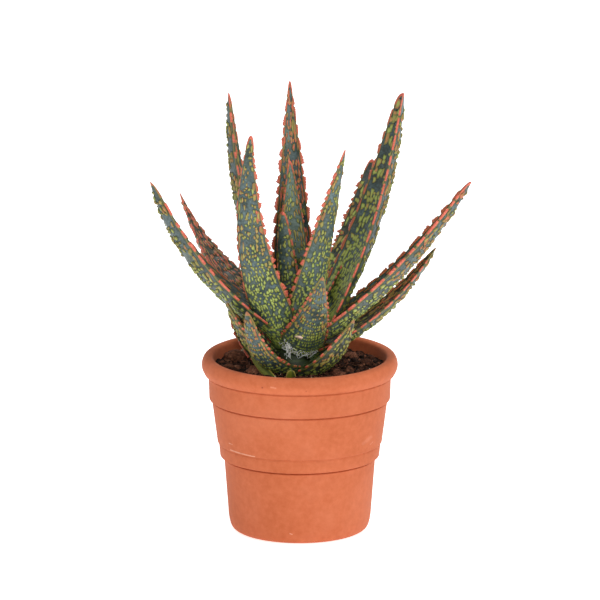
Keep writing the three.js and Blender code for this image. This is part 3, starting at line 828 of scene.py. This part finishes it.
def lathe(line, segments, wobble=0):
    """Points and faces of a (radius, z) line from axis to axis, revolved."""
    angles = turns(segments)
    inner = line[1:-1]
    sway = 1 + wobble * np.sin(3 * angles + 0.6)
    ring = np.stack([np.cos(angles) * sway, np.sin(angles) * sway], axis=1)
    points = [np.concatenate([ring * radius, np.full((segments, 1), z)], axis=1) for radius, z in inner]
    ends = [[0, 0, line[0][1]], [0, 0, line[-1][1]]]
    faces = ring_faces(len(inner), segments)
    first = len(inner) * segments
    for side, cap in enumerate(fan(first + 1, segments, first - segments)):
        faces += [(first, (side + 1) % segments, side), cap]  # the drain's cuts need this order
    return np.concatenate([*points, ends]), faces


def ledge(low, high, deep=1):
    """Corners of a ledge over a wall, from low out to high, with a fine slot between them."""
    radius = mix(low[0], high[0], 0.12)
    return [(*low, 1), (radius, high[1] - 1.5, 0.4), (radius - deep, high[1] - 0.9, 0.2),
            (radius - deep, high[1] + 0.1, 0.2), (*high, 0.7)]


def pot_line():
    """The pot's profile: along its foot, up the outside and down the inside."""
    rim, mouth = POT["rim_radius"], POT["mouth_radius"]
    foot, top = POT["foot_radius"], POT["height"]
    corners = [
        (0, 0, 0),
        (foot - POT["foot_rounding"] - 1, 0, 1),
        (foot - 1.6, 1.2, 5),
        (foot + 0.3, 8, 4),
        *ledge(POT["lower_wall_top"], POT["band_bottom"]),
        *ledge((POT["band_top"][0], POT["band_top"][1] - 3), POT["upper_wall_foot"], 0.15),
        *ledge(POT["upper_wall_top"], POT["collar_bottom"], 0.8),
        *ledge((POT["collar_top"][0], POT["collar_top"][1] - 1), POT["rim_foot"], 0.4),
        (rim + 0.4, POT["rim_middle"], 5),
        (rim - 1.8, top + 0.4, 4.6),
        (mouth + 0.4, top + 0.2, 2.4),
        (mouth - 0.6, top - 2.2 * POT["lip"], 2),
        (*POT["inner_foot"], 4),
        (POT["inner_floor_radius"], POT["floor"], 2),
        (0, POT["floor"], 0),
    ]
    return rounded(corners)


def make_pot():
    pot = add_mesh("pot_clay", *lathe(pot_line(), POT_SEGMENTS, POT_WOBBLE))
    for vertex in pot.data.vertices:  # the rim dips a little towards the front
        x, y, z = vertex.co / MM
        share = max(0, z - POT["rim_foot"][1]) / (POT["height"] - POT["rim_foot"][1])
        vertex.co.z += POT["rim_dip"] * share * y / POT["rim_radius"] * MM
    drills = []
    wide, low, high = DRAIN["radius"], DRAIN["from"], DRAIN["to"]
    outline = np.array([(0, low), (wide, low), (wide, high), (0, high)])
    for hole in range(DRAIN["holes"]):
        angle = 2 * math.pi * (hole + 0.5) / DRAIN["holes"]
        drill = add_mesh(f"drill_{hole}", *lathe(outline, 48))
        drill.location = Vector((*polar(DRAIN["ring"], angle), 0)) * MM
        cut = pot.modifiers.new(f"drain_{hole}", "BOOLEAN")
        cut.operation = "DIFFERENCE"
        cut.object = drill
        drills.append(drill)
    bpy.context.view_layer.update()
    evaluated = pot.evaluated_get(bpy.context.evaluated_depsgraph_get())
    drilled = bpy.data.meshes.new_from_object(evaluated)
    pot.modifiers.clear()
    pot.data = drilled
    for drill in drills:
        bpy.data.objects.remove(drill)
    pot.data.polygons.foreach_set("use_smooth", [True] * len(pot.data.polygons))
    return pot


# --- soil and stem

CRACK = {"scale": 0.13, "layer": 4, "steepness": 2.2}  # of the clods, with scale per mm
BED_RINGS, BED_SEGMENTS = 76, 220
SIDE_TONE = 0.3
CLOD_COUNT = 70
CRUMB_COUNT = 3200
FIBRE, PALE_BIT = 0.9, 0.892  # least draw of a fibre and of a pale bit
# Clods seen from the front: x and y, height over the soil and radius in mm, tone.
CLODS = [
    (-43, 16, 0, 7.6, 0.44),
    (-29, -20, -1, 6.4, 0.5),
    (-37, 33, 2.2, 2.7, 0.95),
    (-47, -8, -0.8, 4.4, 0.4),
    (34, 26, -1, 5, 0.4),
    (44, 4, -1.6, 5, 0.3),
    (26, -32, -1.4, 5, 0.36),
]
# Two young leaves at the stem's foot: curve in mm, direction of the outer face, width.
SHOOTS = [
    (((-13, -40, 105), (-21, -32, 112), (-32, -15, 121)), (-0.5, -0.8, 0.5), 6.4),
    (((-4, -33, 106), (-6.5, -39, 111), (-5.4, -42, 117.5)), (0.1, -1, 0.2), 7),
]


def soil_crack(x, y):
    """0 in the gaps between the soil's clods and 1 on them."""
    near = noise.voronoi(Vector((x * CRACK["scale"], y * CRACK["scale"], CRACK["layer"])))[0]
    return min(1, CRACK["steepness"] * (near[1] - near[0]))


def soil_height(x, y):
    """Height of the soil's lumpy top over z = 0, in mm."""
    broad = math.sin(0.13 * x + 1.7) * math.cos(0.11 * y - 0.4)
    fine = math.sin(0.41 * x - 0.23 * y + 2.2) * math.cos(0.36 * y + 0.19 * x)
    lumps = noise.fractal(Vector((x * 0.16, y * 0.16, 3)), 0.9, 2.1, 5)
    share = math.hypot(x, y) / SOIL["radius"]
    clods = 1.8 * (1 - share**8) * (math.sqrt(soil_crack(x, y)) - 0.8)
    lumps = SOIL["lump"] * (0.5 * broad + 0.35 * fine) + 1.1 * lumps + clods
    return SOIL["level"] + lumps + SOIL["edge_rise"] * share**4


def soil_bed():
    """The soil as a closed plug with a fine lumpy top."""
    points = [(0, 0, soil_height(0, 0))]
    crumbs = [SIDE_TONE]
    angles = turns(BED_SEGMENTS)
    for ring in range(1, BED_RINGS + 1):
        for angle in angles:
            x, y = polar(SOIL["radius"] * ring / BED_RINGS, angle)
            points.append((x, y, soil_height(x, y)))
            grain = noise.fractal(Vector((x * 0.5, y * 0.5, 9)), 0.8, 2, 4)
            # the soil_crack term darkens the gaps between clods: painted shade; the grain term is the soil's
            # own mottle
            crumbs.append(-0.05 + 0.3 * soil_crack(x, y) + 0.34 * grain)
    for radius, z in SOIL_SIDE:
        points += [(*polar(radius, angle), z) for angle in angles]
        crumbs += [SIDE_TONE] * BED_SEGMENTS
    rings = BED_RINGS + len(SOIL_SIDE)
    faces = fan(0, BED_SEGMENTS, 1) + flipped(ring_faces(rings, BED_SEGMENTS, 1))
    last = 1 + (rings - 1) * BED_SEGMENTS
    faces.append(tuple(reversed(range(last, last + BED_SEGMENTS))))
    return points, faces, {"crumb": crumbs}


def ball(fineness):
    """Points and faces of a round grid."""
    shape = bmesh.new()
    bmesh.ops.create_icosphere(shape, subdivisions=fineness, radius=1)
    points = np.array([vertex.co[:] for vertex in shape.verts])
    faces = [tuple(vertex.index for vertex in face.verts) for face in shape.faces]
    shape.free()
    return points, faces


def soil_clods(draw):
    """Rounded clods of matted soil, half sunk in the bed."""
    clods = list(CLODS)
    for _ in range(CLOD_COUNT):
        angle = draw.uniform(0, 2 * math.pi)
        size = 1.4 + 2.4 * draw.random() ** 2
        radius = (SOIL["radius"] - 1.5 - size) * math.sqrt(draw.random())
        tone = draw.uniform(0, 0.6)
        clods.append((*polar(radius, angle), -0.3 * size, size, tone))
    points, faces, crumbs = [], [], []
    for x, y, lift, size, tone in clods:
        base, base_faces = ball(4 if size > 4.5 else 3)
        middle = Vector((x, y, soil_height(x, y) + lift))
        faces += shifted(base_faces, len(points))
        for corner in base:
            place = Vector(corner) * size
            rough = noise.fractal((middle + place) * (1.6 / size), 0.8, 2.2, 3)
            fuzz = noise.fractal((middle + place) * 1.1, 0.7, 2.1, 2)
            place = middle + place * (1 + 0.16 * rough) * (1 + 0.22 * fuzz / size)
            points.append((place.x, place.y, mix(place.z, middle.z, 0.25)))
            crumbs.append(tone + 0.32 * fuzz)
    return points, faces, {"crumb": crumbs}


def scatter_crumbs(draw):
    """Crumbs, bark and fibre on the soil, each out of shape at random."""
    base, base_faces = ball(1)
    points, faces, crumbs = [], [], []
    for _ in range(CRUMB_COUNT):
        angle = draw.uniform(0, 2 * math.pi)
        radius = (SOIL["radius"] - 1.2) * math.sqrt(draw.random())
        x, y = polar(radius, angle)
        size = 0.35 + 1.1 * draw.random() ** 4
        kind = draw.random()
        scale = np.array([1, draw.uniform(0.6, 1), draw.uniform(0.5, 0.9)])
        tone = draw.uniform(-0.25, 0.66)
        if kind > FIBRE:
            scale = np.array([draw.uniform(2, 4.5), 0.4, 0.3])
            tone = draw.uniform(0.3, 0.75)
        elif kind > PALE_BIT:
            tone = draw.uniform(0.8, 1)
        turn = np.linalg.qr(draw.normal(size=(3, 3)))[0]
        turn[:, 0] *= np.sign(np.linalg.det(turn))
        if kind > FIBRE:
            turn[2] *= 0.35
        shape = base * (1 + 0.28 * draw.normal(size=(len(base), 1))) * scale * size
        faces += shifted(base_faces, len(points))
        points += (shape @ turn.T + (x, y, soil_height(x, y) + 0.2 * size)).tolist()
        crumbs += [tone] * len(base)
    return points, faces, {"crumb": crumbs}


def make_soil():
    draw = np.random.default_rng(SOIL_SEED)
    return add_mesh("soil_bed", *join([soil_bed(), soil_clods(draw), scatter_crumbs(draw)]))


def shoot_leaf(curve, facing, wide):
    """A small smooth leaf with a pale margin and keel."""
    rows, count = 26, 16
    low, bend, tip = (np.array(place) for place in curve)
    t = np.linspace(0, 0.995, rows)[:, None]
    middle = curve_at(low, bend, tip, t)
    along = unit(np.gradient(middle, axis=0))
    side = unit(np.cross(along, np.array(facing)))
    face = np.cross(side, along)
    half = 0.5 * wide * (1 - t**4) ** 0.5
    angles = turns(count)
    across, out = np.cos(angles), np.sin(angles)
    bulge = np.where(out > 0, 0.32, 0.12) * out - 0.18 * across**2
    points = middle[:, None] + side[:, None] * (half * across)[..., None]
    points = points + face[:, None] * (half * bulge)[..., None]
    ends = [tuple(reversed(range(count))), tuple(range((rows - 1) * count, rows * count))]
    pale = np.where(np.abs(across) > 0.9, 1, np.where(across > 0.15, 0.35, 0.6))
    return points.reshape(-1, 3), ring_faces(rows, count) + ends, {"young": np.tile(pale, rows)}


def make_stem():
    foot, radius = STEM["foot"], STEM["radius"]
    low, top = foot - STEM["depth"], foot + STEM["height"]
    corners = [
        (0, low, 0),
        (0.8 * radius, low, 2),
        (radius, low + 0.2 * STEM["depth"], 2),
        (radius, foot - 2, 2),
        (0.8 * radius, foot + 2, 2),
        (STEM["middle"], foot + 0.35 * STEM["height"], 5),
        (STEM["top"], top, 1),
        (0, top, 0),
    ]
    points, faces = lathe(rounded(corners), 48, wobble=0.02)
    stem = (points + (STEM["x"], STEM["y"], 0), faces, {})
    return add_mesh("stem_core", *join([stem] + [shoot_leaf(*shoot) for shoot in SHOOTS]))


# --- studio, in metres and watts

AIR = 0.66  # brightness of the white surroundings
PLANT = (0, 0, 0.15)
SOFTBOXES = {
    "key": {"place": (0.9, -1.8, 1.1), "target": PLANT, "size": 0.9, "power": 15},
    "top": {"place": (0.6, 0.1, 2.1), "target": PLANT, "size": 1, "power": 19.5},
}
# A soft spotlight on the left of the pot's mouth; width is that of its pool.
KICKER = {
    "place": (0.2, -2.4, 0.7), "target": (-0.056, 0.012, 0.112), "width": 0.075,
    "softness": 0.05, "power": 100,
}
FLOOR_REACH = 6


def make_camera():
    data = bpy.data.cameras.new("photo_view")
    data.lens = CAMERA["lens"]
    data.sensor_width = CAMERA["sensor"]
    data.clip_end = 20
    camera = add_object("photo_view", data)
    pitch = math.radians(CAMERA["pitch"])
    back = Vector((0, -math.cos(pitch), math.sin(pitch)))
    camera.location = (Vector(CAMERA["target"]) + back * CAMERA["distance"]) * MM
    camera.rotation_euler = (-back).to_track_quat("-Z", "Y").to_euler()
    bpy.context.scene.camera = camera


def add_lamp(name, kind, facts):
    """A lamp that shines from its place at its target, and how far apart those are."""
    data = bpy.data.lights.new(name, kind)
    data.energy = facts["power"]
    lamp = add_object(name, data)
    lamp.location = facts["place"]
    ray = Vector(facts["target"]) - Vector(facts["place"])
    lamp.rotation_euler = ray.to_track_quat("-Z", "Y").to_euler()
    return data, ray.length


def make_studio():
    world = bpy.data.worlds.new("white_studio")
    world.use_nodes = True
    air = world.node_tree.nodes["Background"]
    air.inputs["Color"].default_value = (1, 1, 1, 1)
    air.inputs["Strength"].default_value = AIR
    scene = bpy.context.scene
    scene.world = world
    scene.view_settings.view_transform = "Standard"
    for name, facts in SOFTBOXES.items():
        add_lamp(name, "AREA", facts)[0].size = facts["size"]
    spot, distance = add_lamp("kicker", "SPOT", KICKER)
    spot.spot_size = 2 * math.atan(0.5 * KICKER["width"] / distance)
    spot.spot_blend = 1
    spot.shadow_soft_size = KICKER["softness"]
    corners = np.array([(-1, -1, 0), (1, -1, 0), (1, 1, 0), (-1, 1, 0)]) * FLOOR_REACH
    floor = add_mesh("studio_floor", corners / MM, [(0, 1, 2, 3)])
    floor.data.materials.append(floor_material())


# --- assembly

SOIL_SEED = 31
LEAF_SEED = 500


def dress(piece, node, material):
    piece.data.materials.clear()
    piece.data.materials.append(material)
    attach(piece, "root")
    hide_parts(node)


make_camera()
make_studio()
dress(make_pot(), "pot", clay_material())
dress(make_soil(), "soil", soil_material())
dress(make_stem(), "stem", stem_material())
skin = leaf_material()
for index, (name, facts) in enumerate(LEAVES.items()):
    dress(make_leaf(f"{name}_blade", facts, LEAF_SEED + index), name, skin)
